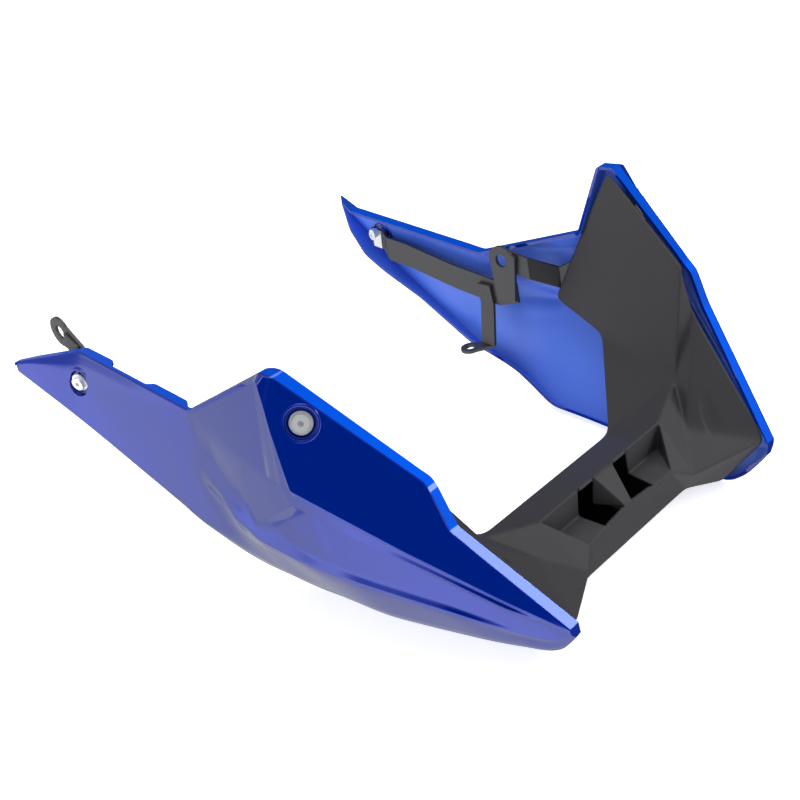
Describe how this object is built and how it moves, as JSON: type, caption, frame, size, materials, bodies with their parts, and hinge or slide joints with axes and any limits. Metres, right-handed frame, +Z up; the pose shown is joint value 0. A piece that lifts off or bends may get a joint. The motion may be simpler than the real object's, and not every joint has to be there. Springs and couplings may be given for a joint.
{
  "type": "engine chassis shroud",
  "caption": "Motorbike belly pan: two painted side panels joined by a black centre cowl with two air vents, on two steel stays.",
  "frame": {"origin": "on the floor under the middle of the pan's length and width, at the lowest edge of the side panels", "axes": "+X forward to the pan's nose, +Y to the rider's left, +Z up"},
  "size_m": [0.5511, 0.448, 0.236],
  "materials": {
    "blue_paint": "painted gloss blue with a clear coat",
    "black_plastic": "fine grained matte black",
    "black_steel": "satin black coating",
    "zinc": "bright zinc plate",
    "rubber": "matte"
  },
  "bodies": {
    "root": {"right_side_panel": "blue_paint", "left_side_panel": "blue_paint", "centre_cowl": "black_plastic", "cowl_grommets": "rubber", "right_stay_arm": "black_steel", "right_eye_plate": "black_steel", "right_front_arm": "black_steel", "left_stay_arm": "black_steel", "left_eye_plate": "black_steel", "left_front_arm": "black_steel", "left_stay_leg": "black_steel", "left_leg_foot": "black_steel", "panel_bolts": "zinc", "bolt_collars": "zinc", "clip_springs": "zinc", "clip_barrels": "zinc"}
  },
  "joints": []
}
